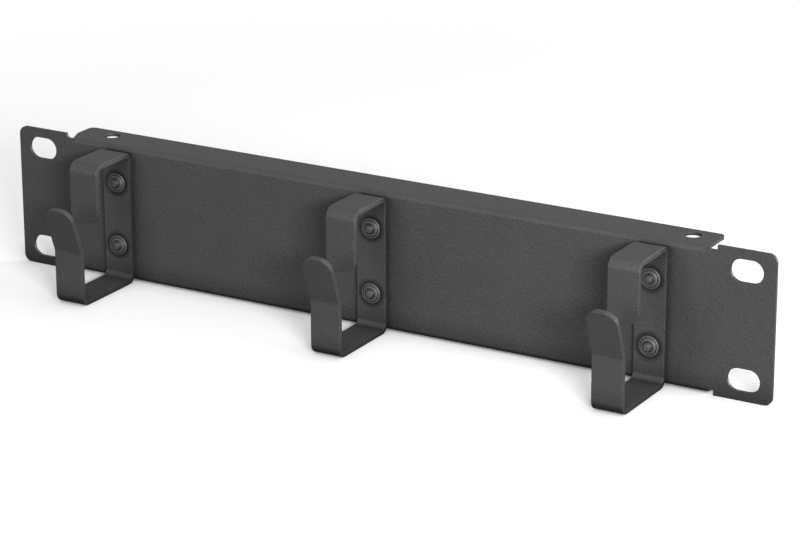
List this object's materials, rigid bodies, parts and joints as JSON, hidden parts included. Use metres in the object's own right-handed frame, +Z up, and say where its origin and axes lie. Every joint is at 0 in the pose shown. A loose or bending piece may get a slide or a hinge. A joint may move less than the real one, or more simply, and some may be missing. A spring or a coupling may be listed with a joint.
{
  "type": "horizontal cable manager",
  "caption": "Folded steel rack panel with slotted ears and bent strip rings, open at the front, that hold patch cables along its face.",
  "frame": {"origin": "middle of the four rack slots, on the ears' rear faces", "axes": "+X along the panel to its right end as seen from the front, +Y to the rear, +Z up"},
  "size_m": [0.254, 0.0457, 0.044],
  "materials": {
    "panel_coat": "fine powder coat",
    "ring_coat": "fine powder coat",
    "rivet_coat": "fine powder coat",
    "mandrel_coat": "fine powder coat"
  },
  "bodies": {
    "root": {"panel": "panel_coat", "ring_left": "ring_coat", "ring_middle": "ring_coat", "ring_right": "ring_coat", "rivet_left_upper": "rivet_coat", "rivet_left_lower": "rivet_coat", "rivet_middle_upper": "rivet_coat", "rivet_middle_lower": "rivet_coat", "rivet_right_upper": "rivet_coat", "rivet_right_lower": "rivet_coat", "mandrel_left_upper": "mandrel_coat", "mandrel_left_lower": "mandrel_coat", "mandrel_middle_upper": "mandrel_coat", "mandrel_middle_lower": "mandrel_coat", "mandrel_right_upper": "mandrel_coat", "mandrel_right_lower": "mandrel_coat"}
  },
  "joints": []
}
